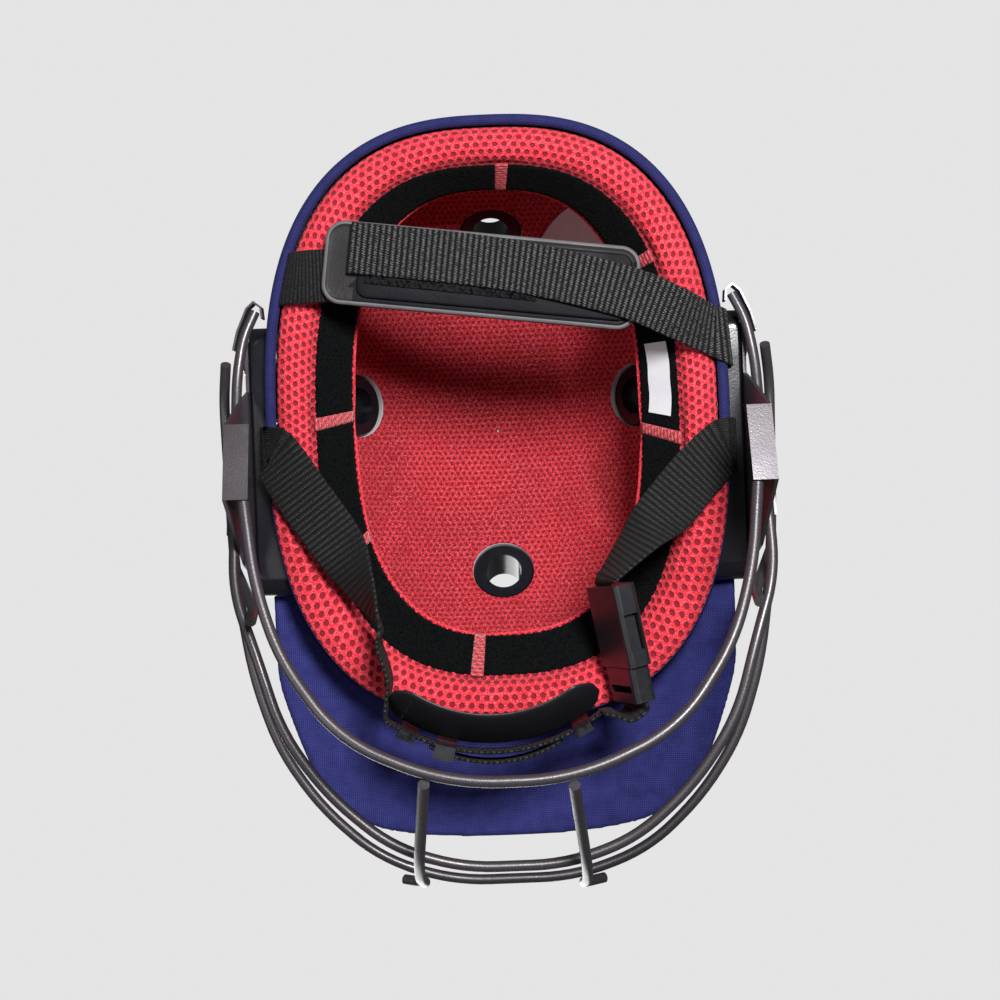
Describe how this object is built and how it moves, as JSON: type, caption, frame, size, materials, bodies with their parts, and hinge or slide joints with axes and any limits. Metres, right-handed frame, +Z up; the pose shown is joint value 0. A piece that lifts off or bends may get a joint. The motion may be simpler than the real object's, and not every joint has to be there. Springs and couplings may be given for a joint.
{
  "type": "cricket helmet",
  "caption": "Cloth-covered cricket helmet with a peak, padded headband, wire face grille, buckled chin strap with cup, and padded neck strap.",
  "frame": {"origin": "middle of the footprint, on the surface that the helmet stands on", "axes": "+X the wearer's left, -Y the face, +Z up, with the helmet standing on the grille's chin bar and side flanges, leaned back by 17.2 degrees"},
  "size_m": [0.2562, 0.3566, 0.1985],
  "materials": {
    "shell_cloth": "woven navy cloth stretched over the shell",
    "shell_plastic": "moulded shell",
    "foam": "closed-cell foam",
    "red_mesh": "red spacer mesh over soft padding",
    "loop_tape": "black loop pile",
    "black_plastic": "moulded black plastic",
    "wire_paint": "gunmetal powder coat",
    "screw_steel": "zinc-plated steel",
    "webbing": "ribbed black webbing",
    "soft_pu": "dark grey coated cloth",
    "label_satin": "blank white satin"
  },
  "bodies": {
    "helmet": {"shell_cover": "shell_cloth", "hard_shell": "shell_plastic", "crown_foam": "foam", "crown_lining": "red_mesh", "rim_piping": "shell_cloth", "headband_pad": "red_mesh", "loop_tape": "loop_tape", "stitch_bars": "red_mesh", "vent_eyelet_front": "black_plastic", "vent_eyelet_back": "black_plastic", "vent_eyelet_left": "black_plastic", "vent_eyelet_right": "black_plastic", "vent_cap_front": "black_plastic", "vent_cap_back": "black_plastic", "vent_cap_left": "black_plastic", "vent_cap_right": "black_plastic", "peak_core": "foam", "peak_cover": "shell_cloth", "spacer_block_left": "black_plastic", "spacer_block_right": "black_plastic", "grille_screws": "screw_steel", "grille_washers": "screw_steel", "tee_nuts": "screw_steel", "neck_pad": "soft_pu", "neck_panel": "soft_pu", "neck_hook_tape": "loop_tape", "neck_webbing": "webbing", "neck_elastic": "webbing", "chin_strap_left": "webbing", "chin_strap_right": "webbing", "chin_strap_front": "webbing", "chin_strap_tail": "webbing", "chin_strap_end": "webbing", "buckle_socket": "black_plastic", "ribbon_label": "label_satin", "crown_label": "label_satin"},
    "grille": {"top_bar": "wire_paint", "middle_bar": "wire_paint", "chin_bar": "wire_paint", "centre_upright_left": "wire_paint", "centre_upright_right": "wire_paint", "side_upright_left": "wire_paint", "side_upright_right": "wire_paint", "side_plate_left": "wire_paint", "side_plate_right": "wire_paint", "gusset_left": "wire_paint", "gusset_right": "wire_paint", "rear_clip_left": "wire_paint", "rear_clip_right": "wire_paint"},
    "plug": {"buckle_plug": "black_plastic"},
    "lower_prong": {"buckle_prong_lower": "black_plastic"},
    "upper_prong": {"buckle_prong_upper": "black_plastic"},
    "chin_cup": {"chin_cup": "soft_pu", "chin_cup_loops": "webbing"},
    "keeper": {"strap_keeper": "black_plastic"}
  },
  "joints": [
    {"name": "grille_tilt", "type": "hinge", "parent": "helmet", "child": "grille", "pos_m": [0, 0.06135, 0.05274], "axis": [1, 0, 0], "range_deg": [-3, 3]},
    {"name": "buckle_release", "type": "slide", "parent": "helmet", "child": "plug", "axis": [-0.1754, -0.9405, 0.2911], "range_m": [0, 0.024], "deforming": ["chin_strap_end"]},
    {"name": "prong_squeeze", "type": "hinge", "parent": "plug", "child": "lower_prong", "pos_m": [-0.05606, -0.08829, 0.05324], "axis": [0.9251, -0.2586, -0.278], "range_deg": [0, 5], "stiffness_Nm_per_rad": 0.05},
    {"name": "prong_squeeze_upper", "type": "hinge", "parent": "plug", "child": "upper_prong", "pos_m": [-0.04906, -0.08371, 0.07228], "axis": [0.9251, -0.2586, -0.278], "range_deg": [-5, 0], "stiffness_Nm_per_rad": 0.05},
    {"name": "chin_cup_slide", "type": "hinge", "parent": "helmet", "child": "chin_cup", "pos_m": [0.0065, -0.03773, 0.07084], "axis": [0, 0.2957, 0.9553], "range_deg": [-2, 3]},
    {"name": "keeper_slide", "type": "hinge", "parent": "helmet", "child": "keeper", "pos_m": [0.0065, -0.03773, 0.07084], "axis": [0, 0.2957, 0.9553], "range_deg": [-3, 3]}
  ],
  "couplings": [
    {"joint": "prong_squeeze_upper", "follows": "prong_squeeze", "ratio": -1}
  ]
}
